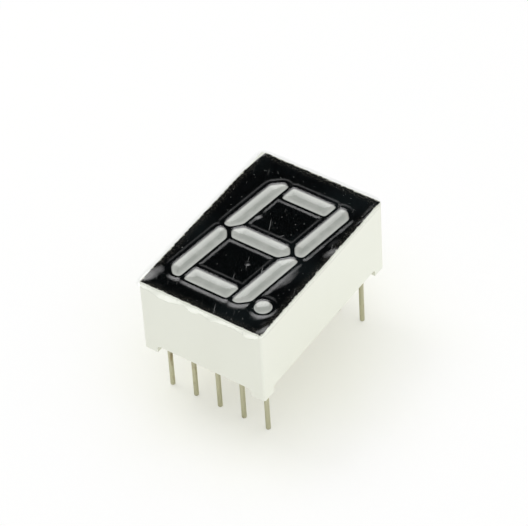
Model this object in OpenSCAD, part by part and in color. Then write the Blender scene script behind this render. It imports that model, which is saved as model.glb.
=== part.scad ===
// Seven segment display: one 14 mm digit with a decimal point, on ten round pins.
// X runs along the digit's baseline, Y runs up the digit, and Z points out of its face.
// The origin is the middle of the pin grid, in the plane of the housing's four feet.

/* [Housing] */
// Width of the housing, across the digit
housing_w = 12.6; // [12.4:0.1:14]
// Length of the housing, along the digit
housing_l = 19; // [18.8:0.1:21]
// Height of the housing's face above its feet
housing_h = 8; // [7.8:0.1:10]
// Thickness of the side walls
wall_t = 0.6; // [0.5:0.05:0.65]
// Depth of the reflector core below the face
core_depth = 4.6; // [4:0.1:4.8]
// Radius of the four upright edges
corner_r = 0.25; // [0.15:0.05:0.5]
// Radius of the edges around the face
edge_r = 0.15; // [0.05:0.01:0.2]

/* [Feet] */
// Height of the gap under the walls, between the corner feet
foot_h = 0.8; // [0.4:0.05:0.9]
// Length of each foot, along both of its walls
foot_len = 1.4; // [1.2:0.05:2.4]
// Radius where a foot runs up into the wall
foot_r = 0.35; // [0.1:0.05:0.4]

/* [Digit] */
// Height of the digit
digit_h = 14.25; // [13:0.05:14.4]
// Width of the digit, before it is slanted
digit_w = 8.35; // [7.8:0.05:8.6]
// Stroke of the three level segments
bar_w = 1.7; // [1.4:0.05:1.8]
// Stroke of the four upright segments
post_w = 1.55; // [1.4:0.05:1.7]
// Black gap between two segments
seg_gap = 0.3; // [0.2:0.02:0.4]
// Length of the pointed ends of the middle segment
tip_len = 0.7; // [0.5:0.05:0.9]
// Cut across the digit's four outer corners
outer_cut = 0.8; // [0.4:0.05:0.9]
// Cut across the blunt corner where two upright segments meet
tip_cut = 0.2; // [0.1:0.02:0.3]
// Radius of the segments' corners
seg_r = 0.22; // [0.1:0.02:0.26]
// Slant of the digit, in degrees
slant = 8; // [0:1:10]
// Height of the digit's middle above the middle of the face
digit_y = -0.1; // [-0.3:0.05:0.2]

/* [Decimal point] */
// Diameter of the decimal point
dot_d = 1.65; // [1.4:0.05:1.7]
// Gap between the decimal point and the digit
dot_gap = 0.39; // [0.3:0.01:0.6]
// Distance from the decimal point's middle to the near row of pins
dot_inset = 1.17; // [1.05:0.01:1.4]

/* [Light wells] */
// Diameter of each light well's lower end, around its chip
well_d = 1.1; // [1:0.05:1.2]
// Distance from the pin rows to the lower ends of the wells at the digit's top and bottom
well_inset = 1.35; // [1.1:0.05:1.6]

/* [Face] */
// Thickness of the black ink on the face
ink_t = 0.05; // [0.03:0.01:0.1]
// Width of the strip worn off the ink at the upper left corner
worn_w = 0.3; // [0.1:0.05:0.6]
// Length of the worn strip
worn_len = 2.4; // [1:0.1:4]
// Depth of the cast epoxy below the face, in each window
sink = 0.2; // [0.1:0.02:0.3]
// Thickness of the clear protective film
film_t = 0.06; // [0.04:0.01:0.1]
// Height of the rim that the film raises around each window
film_rise = 0.05; // [0.02:0.01:0.1]
// Width of that rim
film_rim = 0.3; // [0.1:0.02:0.5]
// Overhang of the film past each long side of the housing
film_side = 0.3; // [0.1:0.05:0.6]
// Overhang of the film past the near end of the housing
film_front = 0.7; // [0.1:0.05:1]
// Overhang of the film past the far end of the housing
film_back = 0.3; // [0.1:0.05:1]
// Radius of the film's corners
film_r = 1.2; // [0.4:0.1:2]

/* [Circuit board] */
// Thickness of the circuit board
board_t = 0.8; // [0.6:0.05:0.9]
// Gap between the board's edge and the side walls
board_gap = 0.05; // [0.02:0.01:0.1]
// Thickness of the copper
copper_t = 0.04; // [0.03:0.005:0.07]
// Width of a copper track
track_w = 0.2; // [0.15:0.01:0.24]
// Diameter of the copper ring around each pin
ring_d = 0.9; // [0.8:0.02:1]

/* [LED chips] */
// Width of a chip
die_w = 0.3; // [0.2:0.01:0.34]
// Thickness of a chip
die_t = 0.2; // [0.1:0.01:0.25]
// Diameter of the dot of glue under a chip
glue_d = 0.44; // [0.4:0.01:0.46]
// Thickness of the dot of glue
glue_t = 0.03; // [0.02:0.005:0.05]
// Thickness of a bond wire
wire_d = 0.05; // [0.05:0.005:0.08]
// Span of a bond wire, from its chip to its pad
wire_span = 0.45; // [0.42:0.01:0.5]
// Width of the square copper pad under a chip
die_pad_w = 0.4; // [0.36:0.01:0.44]
// Width of the square copper pad at the far end of a bond wire
wire_pad_w = 0.2; // [0.14:0.01:0.22]

/* [Pins] */
// Diameter of a pin, over the tin on its free end
pin_d = 0.45; // [0.4:0.01:0.52]
// Thickness of the tin
tin_t = 0.01; // [0.005:0.005:0.02]
// Length over which the tin runs out, above the feet
tin_fade = 0.6; // [0.55:0.05:0.7]
// Distance from the last pins of each row to the sides of the housing
pin_inset = 1.22; // [1.15:0.01:1.4]
// Distance from each row of pins to the end of the housing
row_inset = 1.88; // [1.7:0.02:2]
// Length of the pins below the feet
pin_below = 5.9; // [3:0.1:12]
// Length of the pins above the board
pin_rise = 0.35; // [0.2:0.05:0.6]
// Radius around a pin's tip
tip_r = 0.12; // [0.05:0.01:0.18]
// Play between a pin and its hole in the board
pin_play = 0.03; // [0.02:0.01:0.05]

/* [Back] */
// Distance of the cast filling inside the lower edge of the walls
fill_recess = 0.3; // [0.1:0.05:0.5]
// Height of a solder joint
solder_h = 0.6; // [0.3:0.05:0.7]
// Diameter of a solder joint at its narrow end
solder_tip_d = 0.6; // [0.56:0.02:0.76]

/* [Hidden] */
PINS = 10;
SEGMENTS = ["a", "b", "c", "d", "e", "f", "g"];
// A light well is known by its place in that list, and the decimal point's comes after the last
DOT = len(SEGMENTS);
WELLS = [0:DOT];
function segment(name) = search([name], SEGMENTS)[0];
function well_name(i) = i == DOT ? "point" : SEGMENTS[i];

// Length that a cut runs past the surface that it opens
over = 1;
// Roundness of circles, and of the rounded corners of the segments
round_fn = 48;
corner_fn = 32;

// Levels above the feet, from the face down to the cast filling
guide_z = housing_h - sink;
core_z = housing_h - core_depth;
board_top_z = core_z - copper_t;
board_z = board_top_z - board_t;
rings_z = board_z - copper_t;
fill_z = foot_h + fill_recess;

// Inside of the housing, and the board that lies in it
cavity_w = housing_w - 2 * wall_t;
cavity_l = housing_l - 2 * wall_t;
board_w = cavity_w - 2 * board_gap;
board_l = cavity_l - 2 * board_gap;
cavity_r = 0.3;

// The film, laid out flat
film_w = housing_w + 2 * film_side;
film_l = housing_l + film_front + film_back;

// Pins, with the holes and pockets that they pass through
pin_pitch = (housing_w - 2 * pin_inset) / (PINS / 2 - 1);
row_spacing = housing_l - 2 * row_inset;
pin_r = pin_d / 2;
wire_r = pin_r - tin_t;
pin_l = pin_below + board_top_z + pin_rise;
hole_r = pin_r + pin_play;
pocket_play = 0.15;
pocket_r = pin_r + pocket_play;
pocket_z = board_top_z + pin_rise + pocket_play;

// The digit's own outline, measured from its middle before it is slanted
half_w = digit_w / 2;
half_h = digit_h / 2;
post_in = half_w - post_w;
bar_end = post_in - seg_gap;
point_x = half_w - post_w / 2 - seg_gap;
mitre = 2 * tip_len / bar_w;
mitre_gap = seg_gap * sqrt(1 + mitre * mitre);
post_foot_x = point_x + mitre_gap - mitre * seg_gap / 2;
post_cut_y = (point_x + mitre_gap - post_in) / mitre;

// A level segment at the digit's top, its middle segment, and an upright one at its upper right
BAR = [[-bar_end, half_h], [-bar_end, half_h - bar_w], [bar_end, half_h - bar_w], [bar_end, half_h]];
MIDDLE = [
    [-point_x, 0], [tip_len - point_x, -bar_w / 2], [point_x - tip_len, -bar_w / 2],
    [point_x, 0], [point_x - tip_len, bar_w / 2], [tip_len - point_x, bar_w / 2]
];
POST = [
    [post_in, half_h], [post_in, post_cut_y], [post_foot_x, seg_gap / 2],
    [half_w - tip_cut, seg_gap / 2], [half_w, seg_gap / 2 + tip_cut],
    [half_w, half_h - outer_cut], [half_w - outer_cut, half_h]
];

// Each segment's outline is one of those three, mirrored to its own side of the digit
OUTLINES = [BAR, POST, POST, BAR, POST, POST, MIDDLE];
SIDES = [[1, 1], [1, 1], [1, -1], [1, -1], [-1, -1], [-1, 1], [1, 1]];
POST_MIDDLE = [half_w - post_w / 2, half_h / 2];

// A point of the upright digit, moved to its place on the face
function leaned(p) = [p[0] + p[1] * tan(slant), p[1] + digit_y];
function mirrored(p, side) = [p[0] * side[0], p[1] * side[1]];
function outline(i) = [for (p = OUTLINES[i]) leaned(mirrored(p, SIDES[i]))];

// The middle of the decimal point. It stands clear of segment c's outer edge at its own level.
dot_y = dot_inset - row_spacing / 2;
dot_x = leaned([half_w, dot_y - digit_y])[0] + dot_gap + dot_d / 2;

// The middle of a light well's lower end, on the board. The level segments' wells end short of
// the pins, and the others end under the middle of their windows.
end_well_y = row_spacing / 2 - well_inset;
END_WELL = [end_well_y * tan(slant), end_well_y];
WELL_ENDS = [
    END_WELL, leaned(POST_MIDDLE), leaned(mirrored(POST_MIDDLE, [1, -1])), -END_WELL,
    leaned(-POST_MIDDLE), leaned(mirrored(POST_MIDDLE, [-1, 1])), leaned([0, 0]), [dot_x, dot_y]
];
function well_xy(i) = WELL_ENDS[i];

// The chip lies to the left of its bond pad where this is 1, and to the right where it is -1
CHIP_SIDES = [1, 1, -1, -1, -1, -1, -1, 1];
function chip_xy(i) = well_xy(i) - [CHIP_SIDES[i] * wire_span / 2, 0];
function wire_pad_xy(i) = well_xy(i) + [CHIP_SIDES[i] * wire_span / 2, 0];

// Pins 1 to 5 run from left to right along the near end, and 6 to 10 come back along the far
// end. All chips share the middle pin of each row.
SHARED = [3, 8];
function pin_xy(n) = n <= PINS / 2
    ? [(n - SHARED[0]) * pin_pitch, -row_spacing / 2]
    : [(SHARED[1] - n) * pin_pitch, row_spacing / 2];
// The pin that feeds each segment and the decimal point
FEEDS = [7, 6, 4, 2, 1, 9, 10, 5];

// Copper routes. A segment's track leaves its bond pad, turns short of the row and ends at its pin.
track_gap = 0.25;
turn_y = row_spacing / 2 - ring_d / 2 - track_gap;
spine_x = wire_span / 2 + die_pad_w / 2;
function turned(a, b) = [a, [a[0], sign(b[1]) * turn_y], [b[0], sign(b[1]) * turn_y], b];
function sideways(a, b) = [a, [b[0], a[1]], b];
function feed_route(i) = i == segment("g")
    ? sideways(wire_pad_xy(i), pin_xy(FEEDS[i]))
    : turned(wire_pad_xy(i), pin_xy(FEEDS[i]));

// The shared track is a spine along the board with a branch to each chip. Segment c's branch
// passes above its bond pad, and goes on down its far side to the decimal point.
C = segment("c");
bypass_y = well_xy(C)[1] + die_pad_w / 2 + track_gap + track_w / 2;
spine_route = [
    pin_xy(SHARED[0]), [spine_x, -row_spacing / 2], [spine_x, row_spacing / 2], pin_xy(SHARED[1])
];
c_route = [[spine_x, bypass_y], [chip_xy(C)[0], bypass_y], chip_xy(C)];
dot_route = [chip_xy(C), [chip_xy(C)[0], chip_xy(DOT)[1]], chip_xy(DOT)];
function branch(i) = [[spine_x, chip_xy(i)[1]], chip_xy(i)];

module rounded_rectangle(w, l, r) {
    square([w - 2 * r, l], center = true);
    square([w, l - 2 * r], center = true);
    for (x = [-1, 1], y = [-1, 1])
        translate([x * (w / 2 - r), y * (l / 2 - r)])
            circle(r = r, $fn = round_fn);
}

// The side view of the housing across a width w: square at the feet and rounded at the face
module side_profile(w) {
    translate([-w / 2, 0])
        square([w, housing_h - edge_r]);
    translate([edge_r - w / 2, 0])
        square([w - 2 * edge_r, housing_h]);
    for (x = [-1, 1])
        translate([x * (w / 2 - edge_r), housing_h - edge_r])
            circle(r = edge_r, $fn = round_fn);
}

// The gap between two feet that stand w apart
module foot_gap_profile(w) {
    translate([-w / 2, -over])
        square([w, over + foot_h - foot_r]);
    translate([foot_r - w / 2, -over])
        square([w - 2 * foot_r, over + foot_h]);
    for (x = [-1, 1])
        translate([x * (w / 2 - foot_r), foot_h - foot_r])
            circle(r = foot_r, $fn = round_fn);
}

// Stands a profile up in the XZ plane, drawn out along Y over a length l
module upright(l) {
    rotate([90, 0, 0])
        linear_extrude(height = l, center = true)
            children();
}

module housing_block() {
    intersection() {
        linear_extrude(height = housing_h)
            rounded_rectangle(housing_w, housing_l, corner_r);
        upright(housing_l + over)
            side_profile(housing_w);
        rotate([0, 0, 90])
            upright(housing_w + over)
                side_profile(housing_l);
    }
}

module segment_shape(i) {
    offset(r = seg_r, $fn = corner_fn)
        offset(delta = -seg_r)
            polygon(outline(i));
}

// The window of a light well in the face
module window_shape(i) {
    if (i == DOT)
        translate([dot_x, dot_y])
            circle(d = dot_d, $fn = round_fn);
    else
        segment_shape(i);
}

// A light well runs straight down from its window to the top of the epoxy, and from there it
// tapers to a round end on the board
lip = 0.02;
module light_well(i) {
    if (i == DOT) {
        translate([dot_x, dot_y, core_z])
            cylinder(h = guide_z - core_z, d1 = well_d, d2 = dot_d, $fn = round_fn);
        translate([dot_x, dot_y, guide_z])
            cylinder(h = sink + over, d = dot_d, $fn = round_fn);
    } else
        hull() {
            translate([well_xy(i)[0], well_xy(i)[1], core_z])
                cylinder(h = lip, d = well_d, $fn = corner_fn);
            translate([0, 0, guide_z])
                linear_extrude(height = sink + over)
                    segment_shape(i);
        }
}

module housing() {
    color([0.93, 0.93, 0.89])
        difference() {
            housing_block();
            translate([0, 0, -over])
                linear_extrude(height = over + core_z)
                    rounded_rectangle(cavity_w, cavity_l, cavity_r);
            upright(housing_l + over)
                foot_gap_profile(housing_w - 2 * foot_len);
            rotate([0, 0, 90])
                upright(housing_w + over)
                    foot_gap_profile(housing_l - 2 * foot_len);
            for (n = [1:PINS])
                translate([pin_xy(n)[0], pin_xy(n)[1], core_z - over])
                    cylinder(h = pocket_z - core_z + over, r = pocket_r, $fn = round_fn);
            for (i = WELLS)
                light_well(i);
        }
}

// The ink covers the flat of the face, around the eight windows. The near part of the strip
// along its upper left edge has worn away.
module face_ink() {
    color([0.03, 0.03, 0.035])
        translate([0, 0, housing_h])
            linear_extrude(height = ink_t)
                difference() {
                    square([housing_w - 2 * edge_r, housing_l - 2 * edge_r], center = true);
                    translate([-housing_w / 2, housing_l / 2 - edge_r - worn_len])
                        square([edge_r + worn_w, worn_len + over]);
                    for (i = WELLS)
                        window_shape(i);
                }
}

// The film lies on the ink, rises to a rim around the windows and dips into each one, down to
// the epoxy
module protective_film() {
    color([0.85, 0.88, 0.9, 0.3])
        difference() {
            union() {
                translate([0, (film_back - film_front) / 2, housing_h + ink_t])
                    linear_extrude(height = film_t)
                        rounded_rectangle(film_w, film_l, film_r);
                translate([0, 0, housing_h + ink_t])
                    linear_extrude(height = film_t + film_rise)
                        offset(r = film_rim, $fn = corner_fn)
                            for (i = WELLS)
                                window_shape(i);
                translate([0, 0, guide_z])
                    linear_extrude(height = housing_h + ink_t + film_t - guide_z)
                        for (i = WELLS)
                            window_shape(i);
            }
            translate([0, 0, guide_z + film_t])
                linear_extrude(height = sink + over)
                    offset(delta = -film_t)
                        for (i = WELLS)
                            window_shape(i);
        }
}

module bond_wire(i) {
    color([0.85, 0.65, 0.25])
        translate([chip_xy(i)[0], chip_xy(i)[1], core_z + glue_t + die_t]) {
            translate([CHIP_SIDES[i] * wire_span / 2, 0, 0])
                rotate([90, 0, 0])
                    rotate_extrude(angle = 180, $fn = round_fn)
                        translate([wire_span / 2, 0])
                            circle(d = wire_d, $fn = round_fn);
            translate([CHIP_SIDES[i] * wire_span, 0, -glue_t - die_t])
                cylinder(h = glue_t + die_t, d = wire_d, $fn = round_fn);
        }
}

module led_chip(i) {
    color([0.7, 0.25, 0.2])
        translate([chip_xy(i)[0] - die_w / 2, chip_xy(i)[1] - die_w / 2, core_z + glue_t])
            cube([die_w, die_w, die_t]);
}

module glue_dot(i) {
    translate([chip_xy(i)[0], chip_xy(i)[1], core_z])
        cylinder(h = glue_t, d = glue_d, $fn = round_fn);
}

module chip_glue() {
    color([0.75, 0.75, 0.77])
        for (i = WELLS)
            glue_dot(i);
}

// The cast epoxy that fills a light well, around its chip and bond wire
module light_guide(i) {
    color([0.8, 0.82, 0.78])
        difference() {
            light_well(i);
            translate([-housing_w / 2, -housing_l / 2, guide_z])
                cube([housing_w, housing_l, housing_h]);
            led_chip(i);
            glue_dot(i);
            bond_wire(i);
        }
}

// A copper track: one straight strip from each point of a route to the next
module track(route) {
    for (k = [1:len(route) - 1])
        let (a = route[k - 1], b = route[k])
            translate([min(a[0], b[0]) - track_w / 2, min(a[1], b[1]) - track_w / 2, 0])
                cube([abs(a[0] - b[0]) + track_w, abs(a[1] - b[1]) + track_w, copper_t]);
}

module pad(xy, w) {
    translate([xy[0] - w / 2, xy[1] - w / 2, 0])
        cube([w, w, copper_t]);
}

module disc_at_pin(n, h, r) {
    translate([pin_xy(n)[0], pin_xy(n)[1], 0])
        cylinder(h = h, r = r, $fn = round_fn);
}

module pin_holes() {
    for (n = [1:PINS])
        translate([0, 0, -over])
            disc_at_pin(n, board_t + 2 * over, hole_r);
}

module copper_tracks() {
    color([0.75, 0.45, 0.25])
        translate([0, 0, board_top_z])
            difference() {
                union() {
                    for (i = WELLS) {
                        track(feed_route(i));
                        pad(wire_pad_xy(i), wire_pad_w);
                        pad(chip_xy(i), die_pad_w);
                        if (i != C && i != DOT)
                            track(branch(i));
                    }
                    track(spine_route);
                    track(c_route);
                    track(dot_route);
                    for (n = [1:PINS])
                        disc_at_pin(n, copper_t, ring_d / 2);
                }
                pin_holes();
            }
}

module circuit_board() {
    color([0.86, 0.84, 0.72])
        translate([0, 0, board_z])
            difference() {
                linear_extrude(height = board_t)
                    rounded_rectangle(board_w, board_l, cavity_r - board_gap);
                pin_holes();
            }
}

module copper_rings() {
    color([0.75, 0.45, 0.25])
        translate([0, 0, rings_z])
            difference() {
                for (n = [1:PINS])
                    disc_at_pin(n, copper_t, ring_d / 2);
                pin_holes();
            }
}

// Solder stands around each pin as a cone, under its copper ring
module solder_cone(n) {
    translate([pin_xy(n)[0], pin_xy(n)[1], rings_z - solder_h])
        cylinder(h = solder_h, d1 = solder_tip_d, d2 = ring_d, $fn = round_fn);
}

// A pin is a round wire with a rounded tip and a flat top. Its free end is tinned, and the tin
// thins out between the feet and the cast filling.
module pin_shape(n) {
    translate([pin_xy(n)[0], pin_xy(n)[1], -pin_below])
        rotate_extrude($fn = round_fn) {
            polygon([
                [0, tip_r], [pin_r, tip_r], [pin_r, pin_below],
                [wire_r, pin_below + tin_fade], [wire_r, pin_l], [0, pin_l]
            ]);
            square([pin_r - tip_r, tip_r]);
            intersection() {
                translate([pin_r - tip_r, tip_r])
                    circle(r = tip_r, $fn = round_fn);
                translate([pin_r - tip_r, 0])
                    square(tip_r);
            }
        }
}

module solder_joints() {
    color([0.78, 0.79, 0.8])
        difference() {
            for (n = [1:PINS])
                solder_cone(n);
            for (n = [1:PINS])
                pin_shape(n);
        }
}

// The cast filling closes the back of the housing under the board, around pins and solder
module back_fill() {
    color([0.82, 0.8, 0.68])
        difference() {
            translate([0, 0, fill_z])
                linear_extrude(height = board_z - fill_z)
                    rounded_rectangle(cavity_w, cavity_l, cavity_r);
            translate([0, 0, rings_z])
                for (n = [1:PINS])
                    disc_at_pin(n, copper_t, ring_d / 2);
            for (n = [1:PINS])
                solder_cone(n);
            for (n = [1:PINS])
                pin_shape(n);
        }
}

module pin(n) {
    color([0.66, 0.65, 0.56])
        pin_shape(n);
}

housing();
face_ink();
protective_film();
for (i = WELLS) {
    light_guide(i);
    led_chip(i);
    bond_wire(i);
}
chip_glue();
copper_tracks();
circuit_board();
copper_rings();
solder_joints();
back_fill();
for (n = [1:PINS])
    pin(n);
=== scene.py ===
"""A one-digit seven segment display, dressed for the studio, with its floor, lights and camera.

Lengths in fields and constants are in millimetres, and angles in degrees.
"""

import logging
import math
from dataclasses import dataclass
from enum import Enum

import bmesh
import bpy
import numpy as np
from mathutils import Matrix, Vector
from mathutils.geometry import delaunay_2d_cdt


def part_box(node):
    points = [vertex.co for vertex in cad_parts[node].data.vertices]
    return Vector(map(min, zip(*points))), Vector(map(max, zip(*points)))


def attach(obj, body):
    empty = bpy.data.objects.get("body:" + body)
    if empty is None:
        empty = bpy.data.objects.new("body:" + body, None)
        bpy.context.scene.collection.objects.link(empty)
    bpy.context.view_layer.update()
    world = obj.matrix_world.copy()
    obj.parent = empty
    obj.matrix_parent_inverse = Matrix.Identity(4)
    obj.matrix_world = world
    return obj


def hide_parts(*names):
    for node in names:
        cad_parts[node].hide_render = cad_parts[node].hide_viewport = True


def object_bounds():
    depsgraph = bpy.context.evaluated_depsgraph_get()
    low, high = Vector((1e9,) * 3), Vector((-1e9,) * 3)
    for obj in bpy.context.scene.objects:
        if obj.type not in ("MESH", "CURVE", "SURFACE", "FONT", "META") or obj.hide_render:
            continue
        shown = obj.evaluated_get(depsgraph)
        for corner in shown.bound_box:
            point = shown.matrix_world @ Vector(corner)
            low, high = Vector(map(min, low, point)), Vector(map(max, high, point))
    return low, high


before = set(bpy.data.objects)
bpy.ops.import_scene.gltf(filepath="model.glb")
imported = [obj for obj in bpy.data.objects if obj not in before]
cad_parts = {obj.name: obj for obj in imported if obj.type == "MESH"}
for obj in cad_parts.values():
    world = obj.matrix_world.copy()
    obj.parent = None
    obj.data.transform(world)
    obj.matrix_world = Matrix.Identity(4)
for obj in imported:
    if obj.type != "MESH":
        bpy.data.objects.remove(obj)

LOG = logging.getLogger("display")
MM = 0.001
CAD_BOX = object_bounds()
WELLS = ("a", "b", "c", "d", "e", "f", "g", "point")
POINT_CREASE = (0.63, -0.77)
PINS = tuple(f"pin_{n}" for n in range(1, 11))
FINE_STEP, WINDOW_STEP = 0.03, 0.09
ROUNDING = 60

Triple = tuple[float, float, float]
Colour = Triple
Material = bpy.types.Material
Node = bpy.types.Node
Piece = bpy.types.Object
Socket = bpy.types.NodeSocket
Outlines = dict[str, np.ndarray]


def box_mm(node: str) -> tuple[Vector, Vector]:
    """The low and high corners of a CAD node's box, in millimetres."""
    low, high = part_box(node)
    return low / MM, high / MM


class Nodes:
    """A node tree that is put together node by node."""

    def __init__(self, tree: bpy.types.NodeTree) -> None:
        """Takes up a tree and clears it."""
        self.tree = tree
        tree.nodes.clear()

    def add(self, kind: str, inputs: dict | None = None, **settings) -> Node:
        """Adds a node.

        Args:
            kind: The node's type, without the prefix ShaderNode where it has that one.
            inputs: What each input takes, by its name or number: a value, an output socket, or
                a node, which stands for its first output.
            **settings: The node's own settings.

        Returns:
            The new node.
        """
        node = self.tree.nodes.new(kind if "Node" in kind else "ShaderNode" + kind)
        for key, value in settings.items():
            setattr(node, key, value)
        for key, value in (inputs or {}).items():
            socket = node.inputs[key]
            if isinstance(value, Node):
                value = value.outputs[0]
            if isinstance(value, Socket):
                self.tree.links.new(value, socket)
            else:
                socket.default_value = (*value, 1.0) if socket.type == "RGBA" else value
        return node

    def math(self, operation: str, a: object, b: object = 0.0) -> Node:
        """A sum of two numbers, nodes or sockets, by the name of the operation."""
        return self.add("Math", {0: a, 1: b}, operation=operation)

    def mix(self, factor: object, a: object, b: object) -> Node:
        """A mix of two colours, nodes or sockets."""
        return self.add("MixRGB", {"Fac": factor, "Color1": a, "Color2": b})


# ---- materials


class Shader(Nodes):
    """One node material."""

    def __init__(self, name: str) -> None:
        """Starts an empty material.

        Args:
            name: The material's name.
        """
        self.material = bpy.data.materials.new(name)
        self.material.use_nodes = True
        super().__init__(self.material.node_tree)
        self.place = self.add("TexCoord").outputs["Object"]

    def noise(self, size_mm: float, detail: float = 3.0,
              stretch: Triple = (1, 1, 1)) -> Node:
        """A noise pattern from 0 to 1, whose features are about one size.

        Args:
            size_mm: The size of a feature, in millimetres.
            detail: How many finer layers the noise has.
            stretch: How often it repeats along each axis, against its own size.

        Returns:
            The pattern.
        """
        mapped = self.add("Mapping", {"Vector": self.place, "Scale": stretch})
        return self.add("TexNoise", {"Vector": mapped, "Scale": 1 / (size_mm * MM), "Detail": detail})

    def band(self, value: object, low: float, high: float, out_low: float = 0.0,
             out_high: float = 1.0) -> Node:
        """A smooth step that runs from one value to another while its input crosses a band.

        Args:
            value: The input.
            low: The input at which the step starts.
            high: The input at which it ends.
            out_low: The result before the step.
            out_high: The result after it.

        Returns:
            The step.
        """
        return self.add("MapRange", {
            "Value": value, "From Min": low, "From Max": high, "To Min": out_low, "To Max": out_high,
        }, interpolation_type="SMOOTHSTEP")

    def bump(self, height: Node, depth_um: float, strength: float = 1.0) -> Node:
        """The surface normal, roughened by a height pattern of a given depth in micrometres."""
        return self.add("Bump", {"Height": height, "Distance": depth_um * 1e-6, "Strength": strength})

    def axes(self) -> tuple[Socket, Socket, Socket]:
        """The three object coordinates, as separate numbers in metres."""
        return tuple(self.add("SeparateXYZ", {0: self.place}).outputs)

    def principled(self, inputs: dict) -> Material:
        """Ends the material in a Principled shader with the given inputs and returns it."""
        return self.end(self.add("BsdfPrincipled", inputs))

    def end(self, surface: Node) -> Material:
        """Ends the material in a surface and returns it."""
        self.add("OutputMaterial", {"Surface": surface})
        return self.material


@dataclass(frozen=True)
class MouldedPlastic:
    """White moulded plastic: a fine spark-eroded texture, faint flow marks and a little grime."""

    colour: Colour = (0.88, 0.895, 0.81)
    grime: Colour = (0.76, 0.75, 0.64)
    roughness: float = 0.42

    def build(self) -> Material:
        """Builds the finish.

        Returns:
            The material.
        """
        s = Shader("moulded_plastic")
        flow = s.noise(5.0, 2.0, (1, 1, 0.4))
        tint = s.mix(s.band(flow, 0.35, 0.75, 0.0, 0.10), self.colour, self.grime)
        spots = s.band(s.noise(0.35, 4.0), 0.70, 0.80, 0.0, 0.35)
        colour = s.mix(spots, tint, self.grime)
        texture = s.noise(0.09, 2.0)
        waves = s.noise(1.6, 1.0)
        height = s.math("ADD", texture, s.math("MULTIPLY", waves, 2.0))
        return s.principled({
            "Base Color": colour,
            "Roughness": s.band(texture, 0.3, 0.7, self.roughness - 0.06, self.roughness + 0.08),
            "Normal": s.bump(height, 3.0, 0.7),
            "IOR": 1.5,
        })


@dataclass(frozen=True)
class PrintedInk:
    """Black ink that is printed on the face, worn and grainy along the face's edges."""

    half_width: float
    half_length: float
    colour: Colour = (0.0011, 0.0017, 0.0019)
    faded: Colour = (0.0045, 0.0068, 0.0075)
    worn: Colour = (0.085, 0.078, 0.066)
    bare: Colour = (0.62, 0.62, 0.55)
    roughness: float = 0.38

    def build(self) -> Material:
        """Builds the finish.

        Returns:
            The material.
        """
        s = Shader("printed_ink")
        x, y, _ = s.axes()
        inset_x = s.math("SUBTRACT", self.half_width * MM, s.math("ABSOLUTE", x))
        inset_y = s.math("SUBTRACT", self.half_length * MM, s.math("ABSOLUTE", y))
        inset = s.math("MINIMUM", inset_x, inset_y)
        ragged = s.math("MULTIPLY", s.math("SUBTRACT", s.noise(0.22, 5.0), 0.5), 0.5 * MM)
        edge = s.math("ADD", inset, ragged)
        grain = s.math("MULTIPLY", s.band(s.noise(0.12, 4.0), 0.50, 0.66),
                       s.band(edge, 0.15 * MM, 0.7 * MM, 0.85, 0.0))
        chips = s.band(edge, -0.045 * MM, -0.015 * MM, 1.0, 0.0)
        tone = s.mix(s.band(s.noise(7.0, 1.0), 0.45, 0.68), self.colour, self.faded)
        ink = s.mix(grain, tone, self.worn)
        return s.principled({
            "Base Color": s.mix(chips, ink, self.bare),
            "Roughness": self.roughness,
            "Normal": s.bump(s.noise(0.15), 1.5, 0.5),
            "Specular IOR Level": 0.01,
        })


@dataclass(frozen=True)
class ClearFilm:
    """Clear plastic film: a gloss on what lies under it, with handling haze and fine scratches."""

    haze: Colour = (0.55, 0.56, 0.55)
    tint: Colour = (0.985, 0.988, 0.985)
    roughness: float = 0.06
    index: float = 1.5
    doubled: float = 1.7
    most: float = 0.12

    def build(self) -> Material:
        """Builds the finish.

        Returns:
            The material.
        """
        s = Shader("clear_film")
        waves = s.math("ADD", s.noise(2.6, 2.0), s.math("MULTIPLY", s.noise(0.5, 2.0), 0.06))
        normal = s.bump(waves, 26.0)
        gloss = s.add("BsdfGlossy", {
            "Roughness": self.roughness, "Normal": normal, "Color": (1.0, 1.0, 1.0)})
        clear = s.add("BsdfTransparent", {"Color": self.tint})
        fresnel = s.add("Fresnel", {"IOR": self.index, "Normal": normal})
        inner = s.add("NewGeometry").outputs["Backfacing"]
        both = s.math("MINIMUM", s.math("MULTIPLY", fresnel, self.doubled), self.most)
        shine = s.math("MULTIPLY", both, s.math("SUBTRACT", 1.0, inner))
        sheet = s.add("MixShader", {0: shine, 1: clear, 2: gloss})
        lines = self.scratches(s, 0.42, 24.0, 0.13, 0.70)
        cross = self.scratches(s, -0.75, 14.0, 0.16, 0.73)
        marks = s.math("MULTIPLY", s.math("MAXIMUM", lines, cross),
                       s.band(s.noise(2.4, 1.0), 0.50, 0.66, 0.0, 0.26))
        dull = s.add("BsdfDiffuse", {"Color": self.haze})
        return s.end(s.add("MixShader", {0: marks, 1: sheet, 2: dull}))

    @staticmethod
    def scratches(s: Shader, turn: float, stretch: float, width_mm: float, few: float) -> Node:
        """Fine straight scratches that all run one way.

        Args:
            s: The material that they are part of.
            turn: The way they run, as an angle from the display's height, in radians.
            stretch: How many times longer than wide they are.
            width_mm: Their width, in millimetres.
            few: How few they are, from 0, all over, to 1, none.

        Returns:
            The pattern, from 0 to 1.
        """
        along = s.add("Mapping", {"Vector": s.place, "Rotation": (0, 0, turn),
                                  "Scale": (1, stretch, 1)}, vector_type="TEXTURE")
        noise = s.add("TexNoise", {"Vector": along, "Scale": 1 / (width_mm * MM), "Detail": 1.0})
        return s.band(noise, few, few + 0.08)


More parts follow.
